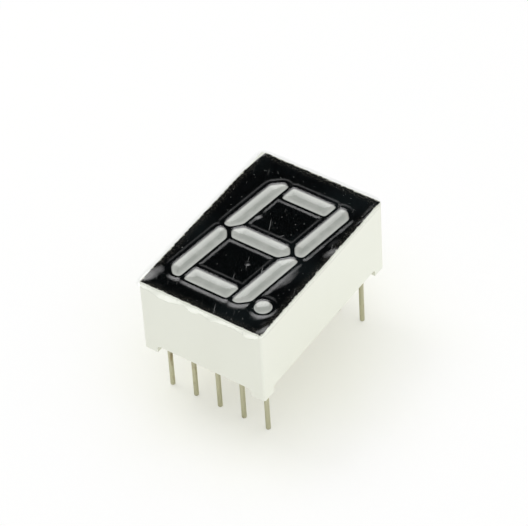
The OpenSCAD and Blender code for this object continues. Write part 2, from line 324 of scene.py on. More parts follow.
@dataclass(frozen=True)
class MilkyEpoxy:
    """Cast epoxy that is filled with a white diffuser, grey, with a wet gloss. Its colour changes
    with height: a painted highlight where it climbs towards the wall, and painted shade at the wall's
    top.
    """

    colour: Colour = (0.385, 0.40, 0.37)
    pale: Colour = (0.455, 0.465, 0.435)
    # Paler where the surface climbs towards the wall: a painted highlight.
    rim_highlight: Colour = (0.56, 0.57, 0.535)
    rim_highlight_start: float = 7.825
    rim_highlight_end: float = 7.93
    # Darkest at the wall's top: painted shade.
    wall_shade: Colour = (0.11, 0.113, 0.107)
    wall_shade_start: float = 7.925
    wall_shade_end: float = 7.99

    def build(self) -> Material:
        """Builds the finish.

        Returns:
            The material.
        """
        s = Shader("milky_epoxy")
        cloud = s.band(s.noise(0.9), 0.35, 0.7)
        body = s.mix(cloud, self.colour, self.pale)
        _, _, z = s.axes()
        # A painted highlight: paler where the surface climbs towards the wall.
        rim_highlight = s.band(z, self.rim_highlight_start * MM, self.rim_highlight_end * MM)
        body = s.mix(rim_highlight, body, self.rim_highlight)
        # Painted shade: darker towards the top of the wall.
        wall_shade_band = s.band(z, self.wall_shade_start * MM, self.wall_shade_end * MM, 0.0, 0.8)
        return s.principled({
            "Base Color": s.mix(wall_shade_band, body, self.wall_shade),
            "Roughness": 0.3,
            "Normal": s.bump(s.noise(0.4, 2.0), 4.0, 0.5),
            "IOR": 1.55,
        })


@dataclass(frozen=True)
class TinnedWire:
    """Round wire with a dull tin finish: drawn lines along it and brownish stains."""

    colour: Colour = (0.57, 0.555, 0.42)
    stain: Colour = (0.30, 0.22, 0.11)
    roughness: float = 0.36

    def build(self) -> Material:
        """Builds the finish.

        Returns:
            The material.
        """
        s = Shader("tinned_wire")
        drawn = s.noise(0.07, 2.0, (1, 1, 0.04))
        blotch = s.band(s.noise(0.8, 4.0, (1, 1, 0.5)), 0.56, 0.74, 0.0, 0.7)
        return s.principled({
            "Base Color": s.mix(blotch, self.colour, self.stain),
            "Metallic": 0.85,
            "Roughness": s.band(drawn, 0.3, 0.7, self.roughness - 0.05, self.roughness + 0.12),
            "Normal": s.bump(drawn, 2.0, 0.6),
        })


@dataclass(frozen=True)
class CastResin:
    """The resin that closes the back: cloudy, glossy, with small bubbles under its skin."""

    colour: Colour = (0.60, 0.585, 0.47)
    deep: Colour = (0.47, 0.44, 0.32)
    bubble: Colour = (0.72, 0.70, 0.60)

    def build(self) -> Material:
        """Builds the finish.

        Returns:
            The material.
        """
        s = Shader("cast_resin")
        cloud = s.band(s.noise(2.4, 4.0), 0.35, 0.7)
        cells = s.add("TexVoronoi", {"Vector": s.place, "Scale": 1 / (0.9 * MM)})
        ring = s.band(cells, 0.05, 0.14, 0.8, 0.0)
        few = s.band(s.noise(1.9, 1.0), 0.56, 0.62)
        bubbles = s.math("MULTIPLY", ring, few)
        base = s.mix(cloud, self.colour, self.deep)
        height = s.math("ADD", s.noise(1.4, 2.0), s.math("MULTIPLY", bubbles, 0.4))
        return s.principled({
            "Base Color": s.mix(bubbles, base, self.bubble),
            "Roughness": s.band(cloud, 0.0, 1.0, 0.16, 0.26),
            "Normal": s.bump(height, 14.0, 0.7),
            "IOR": 1.55,
        })


@dataclass(frozen=True)
class Laminate:
    """Glass fibre board: a faint weave under a yellowish resin."""

    colour: Colour = (0.52, 0.47, 0.27)
    thread: Colour = (0.60, 0.56, 0.38)

    def build(self) -> Material:
        """Builds the finish.

        Returns:
            The material.
        """
        s = Shader("laminate")
        waves = [
            s.add("TexWave", {"Vector": s.place, "Scale": 1 / (2.4 * MM)},
                  bands_direction=axis).outputs["Fac"]
            for axis in ("X", "Y")
        ]
        weave = s.math("MULTIPLY", *waves)
        return s.principled({
            "Base Color": s.mix(weave, self.colour, self.thread),
            "Roughness": 0.45,
            "Normal": s.bump(weave, 4.0, 0.5),
        })


@dataclass(frozen=True)
class Speckled:
    """A plain small part whose colour and gloss vary a little over its surface."""

    name: str
    colour: Colour
    shade: Colour
    roughness: float
    size_mm: float = 0.15
    fade_end: float = 0.7
    metallic: float = 0.0
    uneven: float = 0.0
    depth_um: float = 2.0
    strength: float = 0.6

    def build(self) -> Material:
        """Builds the finish.

        Returns:
            The material.
        """
        s = Shader(self.name)
        grain = s.noise(self.size_mm)
        return s.principled({
            "Base Color": s.mix(s.band(grain, 0.3, self.fade_end), self.colour, self.shade),
            "Metallic": self.metallic,
            "Roughness": s.band(grain, 0.3, 0.7, self.roughness, self.roughness + self.uneven),
            "Normal": s.bump(grain, self.depth_um, self.strength),
        })


@dataclass(frozen=True)
class Metal(Speckled):
    """A small metal part."""

    fade_end: float = 0.75
    metallic: float = 1.0
    uneven: float = 0.15
    depth_um: float = 3.0
    strength: float = 0.5


# ---- outlines


def share(part: np.ndarray, whole: np.ndarray | float) -> np.ndarray:
    """How large a share of a whole each value is, held between 0 and 1."""
    return np.clip(part / whole, 0, 1)


def flat_end(node: str, way: int) -> np.ndarray:
    """The outline points of a CAD node's flat end, in millimetres.

    Args:
        node: The node's name.
        way: 1 for its upper end, -1 for its lower one.

    Returns:
        The points, one a row, without their height.
    """
    points = np.array([v.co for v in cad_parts[node].data.vertices]) / MM
    heights = way * points[:, 2]
    return np.unique(points[heights > heights.max() - 1e-3, :2].round(4), axis=0)


def resampled(loop: np.ndarray, step: float) -> np.ndarray:
    """A closed loop, walked again in even steps.

    Args:
        loop: The loop.
        step: About how long the steps are.

    Returns:
        The new loop.
    """
    closed = np.vstack([loop, loop[:1]])
    along = np.r_[0, np.cumsum(np.linalg.norm(np.diff(closed, axis=0), axis=1))]
    places = np.linspace(0, along[-1], round(along[-1] / step), endpoint=False)
    return np.column_stack([np.interp(places, along, closed[:, k]) for k in (0, 1)])


def window(node: str) -> np.ndarray:
    """The outline of a light guide's flat top, with softened corners.

    Args:
        node: The light guide's name.

    Returns:
        Its points in millimetres, anticlockwise and evenly spaced.
    """
    points = flat_end(node, 1)
    middle = (points.min(0) + points.max(0)) / 2
    angles = np.arctan2(*(points - middle).T[::-1])
    loop = resampled(points[np.argsort(angles)], FINE_STEP)
    for _ in range(ROUNDING):
        loop = loop / 2 + (np.roll(loop, 1, axis=0) + np.roll(loop, -1, axis=0)) / 4
    return resampled(loop, WINDOW_STEP)


def normals(loop: np.ndarray) -> np.ndarray:
    """The outward direction at each point of an anticlockwise loop.

    Args:
        loop: The loop.

    Returns:
        One unit vector for each point.
    """
    ahead = np.roll(loop, -1, axis=0) - np.roll(loop, 1, axis=0)
    out = np.column_stack([ahead[:, 1], -ahead[:, 0]])
    return out / np.linalg.norm(out, axis=1, keepdims=True)


def distance(points: np.ndarray, loop: np.ndarray) -> np.ndarray:
    """The distance of points from a convex outline, negative inside it.

    Args:
        points: The points, one a row.
        loop: The outline, anticlockwise.

    Returns:
        One signed distance for each point.
    """
    step = np.roll(loop, -1, axis=0) - loop
    gap = points[:, None, :] - loop[None, :, :]
    along = share((gap * step).sum(2), (step * step).sum(1))
    nearest = np.linalg.norm(gap - along[:, :, None] * step, axis=2).min(1)
    outside = (step[:, 0] * gap[:, :, 1] - step[:, 1] * gap[:, :, 0]).min(1) < 0
    return np.where(outside, nearest, -nearest)


def depth_in(name: str, points: np.ndarray, loop: np.ndarray) -> np.ndarray:
    """How deep inside a window each point lies, which sets how far its surface has sunk.

    The round window of the point counts from a straight crease that runs aslant across it.

    Args:
        name: The window's name.
        points: The points, one a row.
        loop: The window's outline.

    Returns:
        One depth for each point, negative outside.
    """
    depth = -distance(points, loop)
    if name != "point":
        return depth
    middle = (loop.min(0) + loop.max(0)) / 2
    half = (loop.max(0) - loop.min(0)).min() / 2
    aslant = np.abs((points - middle) @ np.array(POINT_CREASE))
    return np.where(depth > 0, np.minimum(3 * depth, half - aslant), depth)


def placed(name: str, data: bpy.types.ID) -> Piece:
    """Puts a new object into the scene.

    Args:
        name: Its name.
        data: The mesh, lamp or camera that it holds.

    Returns:
        The object.
    """
    piece = bpy.data.objects.new(name, data)
    bpy.context.scene.collection.objects.link(piece)
    return piece


def bake(piece: Piece) -> None:
    """Turns a piece's modifiers into plain mesh.

    Args:
        piece: The piece.
    """
    graph = bpy.context.evaluated_depsgraph_get()
    piece.data = bpy.data.meshes.new_from_object(piece.evaluated_get(graph))
    piece.modifiers.clear()


class Tree(Nodes):
    """A geometry node tree that shapes one piece, with named inputs for its sizes."""

    def __init__(self, name: str, sizes: dict[str, float]) -> None:
        """Starts a tree that takes a geometry and gives one.

        Args:
            name: The tree's name.
            sizes: Its sizes, each of which becomes an input of that name.
        """
        super().__init__(bpy.data.node_groups.new(name, "GeometryNodeTree"))
        self.new_socket("Geometry", "INPUT", "NodeSocketGeometry")
        self.new_socket("Geometry", "OUTPUT", "NodeSocketGeometry")
        self.values = {self.new_socket(size, "INPUT", "NodeSocketFloat"): value
                       for size, value in sizes.items()}
        self.given = self.add("NodeGroupInput").outputs

    def new_socket(self, name: str, way: str, kind: str) -> str:
        """Adds a socket to the tree and returns its identifier."""
        return self.tree.interface.new_socket(name, in_out=way, socket_type=kind).identifier

    def finish(self, geometry: Node, material: Material) -> None:
        """Ends the tree: its instances made real, in one material.

        Args:
            geometry: What the tree has made.
            material: Its finish.
        """
        real = self.add("GeometryNodeRealizeInstances", {0: geometry})
        dressed = self.add("GeometryNodeSetMaterial", {"Geometry": real, "Material": material})
        self.add("NodeGroupOutput", {0: dressed})

    def shape(self, piece: Piece) -> Piece:
        """Runs the tree on a piece and makes it plain again.

        Args:
            piece: The piece.

        Returns:
            The piece, with no modifier left on it.
        """
        shaper = piece.modifiers.new("shaped", "NODES")
        shaper.node_group = self.tree
        for identifier, value in self.values.items():
            shaper[identifier] = value
        bake(piece)
        return piece


@dataclass(frozen=True)
class Meniscus:
    """A surface that creeps up a well's wall, slopes inwards from it and creases in the middle."""

    slope: float = 0.24
    crease: float = 0.085
    reach: float = 0.85
    creep: float = 0.0
    creep_width: float = 0.16
    weld: float = 0.0005

    def tree(self, material: Material) -> Tree:
        """The tree that sinks each point of a surface by the depth inside a well that it holds.

        Args:
            material: The surface's finish.

        Returns:
            The tree. Points whose depth is below 0 stay where they are.
        """
        tree = Tree("meniscus", {
            "Slope": self.slope, "Crease slope": self.crease, "Reach": self.reach * MM,
            "Creep": self.creep * MM, "Creep width": self.creep_width * MM})
        given = tree.given
        held = tree.add("GeometryNodeInputNamedAttribute", {"Name": "depth"})
        loose = tree.add("FunctionNodeCompare", {"A": held, "B": 0.0}, operation="GREATER_EQUAL")
        depth = tree.math("MINIMUM", held, given["Reach"])
        easing = tree.math("DIVIDE", tree.math("SUBTRACT", given["Slope"], given["Crease slope"]),
                           tree.math("MULTIPLY", 2.0, given["Reach"]))
        steep = tree.math("SUBTRACT", given["Slope"], tree.math("MULTIPLY", easing, depth))
        fall = tree.math("MULTIPLY", steep, depth)
        near = tree.math("SUBTRACT", 1.0, tree.math("DIVIDE", depth, given["Creep width"]))
        climb = tree.math("POWER", tree.math("MAXIMUM", near, 0.0), 2.0)
        height = tree.math("SUBTRACT", tree.math("MULTIPLY", climb, given["Creep"]), fall)
        moved = tree.add("GeometryNodeSetPosition", {
            "Geometry": given["Geometry"], "Selection": loose,
            "Offset": tree.add("CombineXYZ", {2: height})})
        bare = tree.add("GeometryNodeRemoveAttribute", {"Geometry": moved, "Name": "depth"})
        welded = tree.add("GeometryNodeMergeByDistance", {
            "Geometry": bare, "Distance": self.weld * MM})
        tree.finish(welded, material)
        return tree


def hex_grid(loop: np.ndarray, step: float) -> np.ndarray:
    """Evenly spread points over a loop's box, in staggered rows.

    Args:
        loop: The loop.
        step: The distance between neighbours.

    Returns:
        The points, one a row.
    """
    low, high = loop.min(0), loop.max(0)
    rows = np.arange(low[1], high[1], step * math.sqrt(0.75))
    columns = np.arange(low[0], high[0], step)
    return np.array([(x + (k % 2) * step / 2, y) for k, y in enumerate(rows) for x in columns])


def thinned(points: np.ndarray, gap: float) -> np.ndarray:
    """The points, without those that share a small square with an earlier one."""
    _, first = np.unique(np.floor(points / gap).astype(int), axis=0, return_index=True)
    return points[np.sort(first)]


def ring_faces(upper: list[int], lower: list[int]) -> list[list[int]]:
    """The faces between two closed rings of points."""
    pairs = zip(upper, upper[1:] + upper[:1], lower[1:] + lower[:1], lower)
    return [list(face) for face in pairs]


def triangulated(loop: np.ndarray, inner: np.ndarray,
                 rings: list[np.ndarray]) -> tuple[np.ndarray, list[list[int]], list[list[int]]]:
    """Triangles over the inside of a loop, through all of the given points.

    Args:
        loop: The outer edge.
        inner: Loose points inside it.
        rings: Closed loops inside it that the triangles' edges follow.

    Returns:
        The points, the triangles, and the numbers of the points along the outer edge and each
        ring.
    """
    edges, start = [], len(loop)
    for ring in rings:
        edges += [(start + k, start + (k + 1) % len(ring)) for k in range(len(ring))]
        start += len(ring)
    points = np.vstack([loop, *rings, inner])
    made = delaunay_2d_cdt([Vector(p) for p in points], edges, [list(range(len(loop)))], 1, 1e-5)
    place = {source: k for k, sources in enumerate(made[3]) for source in sources}
    tracks, start = [], 0
    for ring in (loop, *rings):
        tracks.append([place[k] for k in range(start, start + len(ring))])
        start += len(ring)
    return np.array([tuple(p) for p in made[0]]), [list(f) for f in made[2]], tracks


def new_piece(name: str, points: np.ndarray, faces: list[list[int]],
              material: Material, smooth: bool = True,
              depth: np.ndarray | None = None) -> Piece:
    """A mesh object whose points are given in millimetres.

    Args:
        name: The piece's name.
        points: Its points.
        faces: Its faces, as lists of point numbers.
        material: Its finish.
        smooth: Whether its faces are shaded smooth.
        depth: How deep inside a well each point lies, in millimetres, for a meniscus tree.

    Returns:
        The object, linked to the scene.
    """
    mesh = bpy.data.meshes.new(name)
    mesh.from_pydata([tuple(p) for p in np.asarray(points) * MM], [], faces)
    if depth is not None:
        mesh.attributes.new("depth", "FLOAT", "POINT").data.foreach_set("value", depth * MM)
    shell = bmesh.new()
    shell.from_mesh(mesh)
    bmesh.ops.remove_doubles(shell, verts=shell.verts, dist=1e-8)
    bmesh.ops.recalc_face_normals(shell, faces=shell.faces)
    shell.to_mesh(mesh)
    shell.free()
    if smooth:
        mesh.shade_smooth()
    mesh.materials.append(material)
    return placed(name, mesh)


def seat(piece: Piece, slot: str, *stands_for: str) -> Piece:
    """Fixes a finished piece to the display.

    Args:
        piece: The piece.
        slot: Not used.
        *stands_for: The CAD nodes that it replaces.

    Returns:
        The piece.
    """
    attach(piece, "root")
    if stands_for:
        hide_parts(*stands_for)
    return piece


def dress(finish: Material, *nodes: str) -> list[Piece]:
    """Gives CAD nodes their finish.

    Args:
        finish: The material.
        *nodes: The nodes' names.

    Returns:
        The nodes.
    """
    pieces = [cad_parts[node] for node in nodes]
    for piece in pieces:
        piece.data.materials.clear()
        piece.data.materials.append(finish)
    return pieces


# ---- the display's parts


@dataclass
class Housing:
    """The white moulding, which the CAD gives whole."""

    finish: MouldedPlastic = MouldedPlastic()

    def build(self) -> list[Piece]:
        """Dresses the moulding."""
        return dress(self.finish.build(), "housing")


@dataclass
class Face:
    """The printed face: its black ink and the clear film over it."""

    windows: Outlines
    worn_width: float = 0.42
    worn_length: float = 2.4
    wrap: float = 0.08
    ragged: float = 0.035
    worn_step: float = 0.12
    worn_seed: int = 7
    lip: float = 0.015
    lip_depth: float = 0.005
    film_radius: float = 1.2
    film_turn: float = 7.5
    film_edge_step: float = 0.16
    front_draw: float = 0.15
    front_ripple: float = 0.03
    film_thickness: float = 0.02
    gap: float = 0.012
    wave: float = 0.006
    touch: float = 0.006
    film_rise: float = 0.040
    rise_start: float = 0.24
    rise_end: float = 0.60
    mesh_step: float = 0.15
    mesh_margin: float = 0.08
    outer_rings: tuple[float, ...] = (0.05, 0.12, 0.2, 0.26, 0.33, 0.40, 0.46, 0.55)
    inner_rings: tuple[float, ...] = (-0.04, -0.08, -0.12, -0.2, -0.3, -0.42, -0.55, -0.7)
    groove_start: float = 0.09
    groove_ease: float = 0.16
    skirt: float = 0.035
    skirt_start: float = 0.30
    skirt_end: float = 1.20
    front_start: float = -6.8
    front_ease: float = 0.8
    # Each lift: its middle's x and y, its reach along x and y, and how steeply it tilts.
    lifts: tuple[tuple[float, float, float, float, float], ...] = (
        (-6.15, -8.7, 0.66, 1.5, 0.19), (5.90, 2.0, 0.50, 1.1, 0.11), (6.00, -8.7, 0.45, 1.1, 0.13),
        (4.35, -3.1, 0.50, 1.8, 0.070), (-1.75, 2.3, 0.25, 0.4, 0.14), (0.60, -3.0, 0.25, 0.25, 0.2),
        (6.10, 6.9, 0.22, 1.4, 0.09), (-6.10, 8.1, 0.22, 0.9, 0.14), (-5.80, 9.1, 0.16, 0.30, 0.16),
    )
    droop_start: float = 0.12
    side_droop: float = 0.22
    side_swing: float = 0.10
    end_droop: float = 0.24
    end_swing: float = 0.12
    dust_count: int = 170
    dust_seed: int = 11
    speck_radius: float = 0.026
    speck_lift: float = 0.006
    # The least and the most along each axis, with the seed.
    speck_sizes: tuple[Triple, Triple, int] = ((0.35, 0.35, 0.2), (1.5, 1.2, 0.7), 3)
    speck_turns: tuple[Triple, Triple, int] = ((0, 0, 0), (0.3, 0.3, 6.28), 5)

    def __post_init__(self) -> None:
        """Reads the extent of the printed ink."""
        self.ink_low, self.ink_high = box_mm("face_ink")
        self.level = self.ink_high.z

    def build(self) -> list[Piece]:
        """Builds the ink, the film and the dust on it, and returns them."""
        ink, film = self.ink(), self.film()
        return [ink, film, self.dust(film)]

    def worn_outline(self) -> np.ndarray:
        """The ink's outer edge, a little uneven, with the strip that has worn away.

        Returns:
            Its points in millimetres, anticlockwise.
        """
        low = self.ink_low - Vector((self.wrap * 1.5, 0, 0))
        high = self.ink_high + Vector((self.wrap / 2, self.wrap * 1.5, 0))
        notch_y = high.y - self.worn_length
        middle_y = high.y - self.worn_length / 2
        corners = [(low.x, low.y), (high.x, low.y), (high.x, high.y),
                   (low.x + self.worn_width, high.y),
                   (low.x + self.worn_width / 2, middle_y),
                   (low.x + self.worn_width / 3, notch_y),
                   (low.x, notch_y - self.worn_width)]
        loop = resampled(np.array(corners), self.worn_step)
        chance = np.random.default_rng(self.worn_seed)
        rough = chance.normal(0, 1, len(loop))
        rough = (rough + np.roll(rough, 1) + np.roll(rough, 2)) / 3
        inward = -normals(loop)
        return loop + inward * np.abs(rough)[:, None] * self.ragged

    def ink(self) -> Piece:
        """Builds the printed ink, with its lips down the windows' walls.

        Returns:
            The piece.
        """
        loops = list(self.windows.values())
        flat, faces, tracks = triangulated(self.worn_outline(), np.empty((0, 2)), loops)
        middles = flat[np.array(faces)].mean(1)
        inside = np.min([distance(middles, loop) for loop in loops], axis=0) < 0
        faces = [f for f, hole in zip(faces, inside) if not hole]
        top = flat.copy()
        for loop, ring in zip(loops, tracks[1:]):
            top[ring] -= normals(loop) * self.lip
        count = len(flat)
        points = [np.insert(top, 2, self.level, axis=1), np.insert(flat, 2, self.ink_low.z, axis=1)]
        solid = faces + [[k + count for k in reversed(f)] for f in faces]
        solid += ring_faces(tracks[0], [k + count for k in tracks[0]])
        foot, start = self.ink_low.z - self.lip_depth, 2 * count
        for ring in tracks[1:]:
            size = len(ring)
            points += [np.insert(edge[ring], 2, foot, axis=1) for edge in (top, flat)]
            lip_in = list(range(start, start + size))
            lip_out = list(range(start + size, start + 2 * size))
            solid += ring_faces(ring, lip_in) + ring_faces(lip_in, lip_out)
            solid += ring_faces(lip_out, [k + count for k in ring])
            start += 2 * size
        finish = PrintedInk(self.ink_high.x, self.ink_high.y).build()
        piece = new_piece("printed_ink", np.vstack(points), solid, finish, smooth=False)
        return seat(piece, "face_ink", "face_ink")

    def film_outline(self) -> np.ndarray:
        """The film's outer edge, with rounded corners.

        Returns:
            Its points in millimetres, anticlockwise.
        """
        low, high = box_mm("protective_film")
        r = self.film_radius
        points = []
        for x, y, start in ((high.x - r, low.y + r, -90), (high.x - r, high.y - r, 0),
                            (low.x + r, high.y - r, 90), (low.x + r, low.y + r, 180)):
            turns = np.radians(start + np.arange(0, 91, self.film_turn))
            points += list(zip(x + r * np.cos(turns), y + r * np.sin(turns)))
        return resampled(np.array(points), self.film_edge_step)

    def drawn_in(self, flat: np.ndarray) -> np.ndarray:
        """The film's points, with its loose front edge drawn in unevenly.

        Args:
            flat: The points, one a row.

        Returns:
            The moved points.
        """
        edge, tip = (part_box(node)[0].y / MM for node in ("housing", "protective_film"))
        x, y = flat.T
        draw = self.front_draw * (1 + np.sin(2.3 * x + 1.3 * np.sin(0.9 * x)))
        draw += self.front_ripple * (1 + np.sin(7.1 * x))
        return np.column_stack([x, y + draw * share(edge - y, edge - tip)])

    def film_height(self, flat: np.ndarray) -> tuple[np.ndarray, np.ndarray]:
        """The film's height over the face at each point, before it is pressed into the windows.

        Args:
            flat: The points, one a row.

        Returns:
            The heights, and how deep inside a window's groove each point lies, in millimetres.
        """
        s = -np.max([depth_in(name, flat, loop) for name, loop in self.windows.items()], axis=0)
        x, y = flat.T
        waves = self.wave * np.sin(1.3 * x + 0.9 * y) * np.cos(0.8 * y - 0.5 * x)
        rest = self.level + self.gap + waves
        front = share(self.front_start - y, self.front_ease)
        away = share(s - self.skirt_start, self.skirt_end - self.skirt_start)
        rest += self.skirt * (1 - front * away * (2 - away))
        fall = share(s - self.rise_start, self.rise_end - self.rise_start)
        rise = self.film_rise * (1 - fall * fall * (3 - 2 * fall))
        low, high = box_mm("housing")
        clear = self.droop_start
        side = np.maximum(x - high.x - clear, 0) + np.maximum(low.x - clear - x, 0)
        end = np.maximum(low.y - clear - y, 0) + np.maximum(y - high.y - clear, 0)
        droop = side * (self.side_droop + self.side_swing * np.sin(1.9 * y))
        droop += end * (self.end_droop + self.end_swing * np.sin(2.1 * x + 0.8))
        over = rest + rise - self.level
        for cx, cy, rx, ry, tilt in self.lifts:
            near = np.exp(-((x - cx) / rx) ** 2 - ((y - cy) / ry) ** 2)
            over += near * tilt * (0.8 * (y - cy) - 0.6 * (x - cx) + 0.25 * ry)
        touch = self.touch
        over = touch + (over - touch + np.hypot(over - touch, 2 * touch)) / 2
        depth = self.groove_start - s
        early = np.clip(depth, 0, None) ** 2 / (2 * self.groove_ease)
        depth = np.where(depth < self.groove_ease, early, depth - self.groove_ease / 2)
        return self.level + over - droop, depth

    def film(self) -> Piece:
        """Builds the clear film, pressed down round and into the windows.

        Returns:
            The piece.
        """
        outer = self.film_outline()
        loops = list(self.windows.values())
        rings = [loop + normals(loop) * step for steps in (self.outer_rings, self.inner_rings)
                 for loop in loops for step in steps]
        loose = np.vstack([hex_grid(outer, self.mesh_step), *rings])
        clear = np.abs([distance(loose, loop) for loop in loops]).min(0) > self.mesh_step / 5
        inset = distance(loose, outer) < -self.mesh_margin
        loose = thinned(loose[clear & inset], 0.3 * self.mesh_step)
        flat, faces, _ = triangulated(outer, loose, loops)
        flat = self.drawn_in(flat)
        height, depth = self.film_height(flat)
        finish = ClearFilm().build()
        points = np.insert(flat, 2, height, axis=1)
        piece = Meniscus().tree(finish).shape(
            new_piece("clear_film", points, faces, finish, depth=depth))
        if piece.data.polygons[0].normal.z < 0:
            piece.data.flip_normals()
        thick = piece.modifiers.new("thickness", "SOLIDIFY")
        thick.thickness = self.film_thickness * MM
        thick.offset = 0
        bake(piece)
        return seat(piece, "protective_film", "protective_film")

    def dust(self, film: Piece) -> Piece:
        """Scatters dust over the film.

        Args:
            film: The film that the dust lies on.

        Returns:
            The dust, as one piece.
        """
        finish = Speckled("dust", (0.60, 0.60, 0.57), (0.30, 0.30, 0.28), 0.9, 0.05).build()
        area = sum(f.area for f in film.data.polygons) / 2
        tree = Tree("scattered_dust", {
            "Count per face area": self.dust_count / area,
            "Speck radius": self.speck_radius * MM, "Lift": self.speck_lift * MM})
        height = tree.add("SeparateXYZ", {0: tree.add("GeometryNodeInputNormal")}).outputs[2]
        upward = tree.add("FunctionNodeCompare", {"A": height, "B": 0.5}, operation="GREATER_THAN")
        spread = tree.add("GeometryNodeDistributePointsOnFaces", {
            "Mesh": tree.given["Geometry"], "Selection": upward,
            "Density": tree.given["Count per face area"], "Seed": self.dust_seed})
        grain = tree.add("GeometryNodeMeshIcoSphere", {
            "Radius": tree.given["Speck radius"], "Subdivisions": 1})
        size, turn = (
            tree.add("FunctionNodeRandomValue", {0: low, 1: high, "Seed": seed},
                     data_type="FLOAT_VECTOR")
            for low, high, seed in (self.speck_sizes, self.speck_turns))
        put = tree.add("GeometryNodeInstanceOnPoints", {
            "Points": spread, "Instance": grain, "Scale": size, "Rotation": turn})
        raised = tree.add("GeometryNodeTranslateInstances", {
            "Instances": put, "Translation": tree.add("CombineXYZ", {2: tree.given["Lift"]}),
            "Local Space": False})
        tree.finish(raised, finish)
        return seat(tree.shape(placed("film_dust", film.data.copy())), "protective_film")


@dataclass
class Digit:
    """The eight light wells, each filled with milky epoxy that has crept up its walls."""

    windows: Outlines
    climb: float = 0.15
    surface: Meniscus = Meniscus(creep=0.05)
    finish: MilkyEpoxy = MilkyEpoxy()
    rings: tuple[float, ...] = (0.04, 0.09, 0.16, 0.25, 0.36, 0.48, 0.6)
    mesh_step: float = 0.14
    mesh_margin: float = 0.025
    mesh_gap: float = 0.05
    skirt: int = 5

    def build(self) -> list[Piece]:
        """Builds the eight fillings.

        Returns:
            The fillings.
        """
        material = self.finish.build()
        tree = self.surface.tree(material)
        return [seat(tree.shape(self.filling(name, outline, material)), "light_guide",
                     f"light_guide_{name}") for name, outline in self.windows.items()]

    def filling(self, name: str, outline: np.ndarray, material: Material) -> Piece:
        """Builds one filling, from its flat top down to its round foot.

        Args:
            name: The segment's letter, or point.
            outline: The window's outline.
            material: The epoxy.

        Returns:
            The filling, whose top still has to sink into its hollow shape.
        """
        node = f"light_guide_{name}"
        low, high = box_mm(node)
        loose = np.vstack([outline - normals(outline) * step for step in self.rings]
                          + [hex_grid(outline, self.mesh_step)])
        loose = thinned(loose[distance(loose, outline) < -self.mesh_margin], self.mesh_gap)
        flat, faces, (ring,) = triangulated(outline, loose, [])
        points = [np.insert(flat, 2, high.z + self.climb, axis=1)]
        lower = flat_end(node, -1)
        centre = (lower.min(0) + lower.max(0)) / 2
        foot = centre + normals(outline) * np.linalg.norm(lower - centre, axis=1).max()
        size, start = len(outline), len(flat)
        for step in range(self.skirt + 1):
            part = step / self.skirt
            loop = outline * (1 - part) + foot * part
            points.append(np.insert(loop, 2, high.z * (1 - part) + low.z * part, axis=1))
            below = list(range(start, start + size))
            faces += ring_faces(ring, below)
            ring, start = below, start + size
        faces.append(ring)
        depth = np.full(start, -1.0)
        depth[:len(flat)] = np.clip(depth_in(name, flat, outline), 0, None)
        return new_piece(f"epoxy_{name}", np.vstack(points), faces, material, depth=depth)


@dataclass
class Workings:
    """What lies inside: the board with its copper and joints, and the chips with their wires."""

    def build(self) -> list[Piece]:
        """Dresses the inner parts.

        Returns:
            The parts.
        """
        copper = Metal("copper", (0.87, 0.42, 0.25), (0.60, 0.27, 0.15), 0.28)
        solder = Metal("solder", (0.66, 0.67, 0.68), (0.45, 0.46, 0.47), 0.24, 0.4)
        gold = Metal("gold_wire", (0.95, 0.66, 0.24), (0.80, 0.50, 0.16), 0.2, 0.03)
        chip = Speckled("semiconductor", (0.21, 0.12, 0.07), (0.34, 0.22, 0.12), 0.25, 0.06)
        glue = Speckled("silver_glue", (0.50, 0.50, 0.49), (0.66, 0.66, 0.65), 0.4, 0.05)
        nodes = {
            Laminate(): ["circuit_board"],
            copper: ["copper_tracks", "copper_rings"],
            solder: ["solder_joints"],
            gold: [f"bond_wire_{name}" for name in WELLS],
            chip: [f"led_chip_{name}" for name in WELLS],
            glue: ["chip_glue"],
        }
        return [piece for finish in nodes for piece in dress(finish.build(), *nodes[finish])]


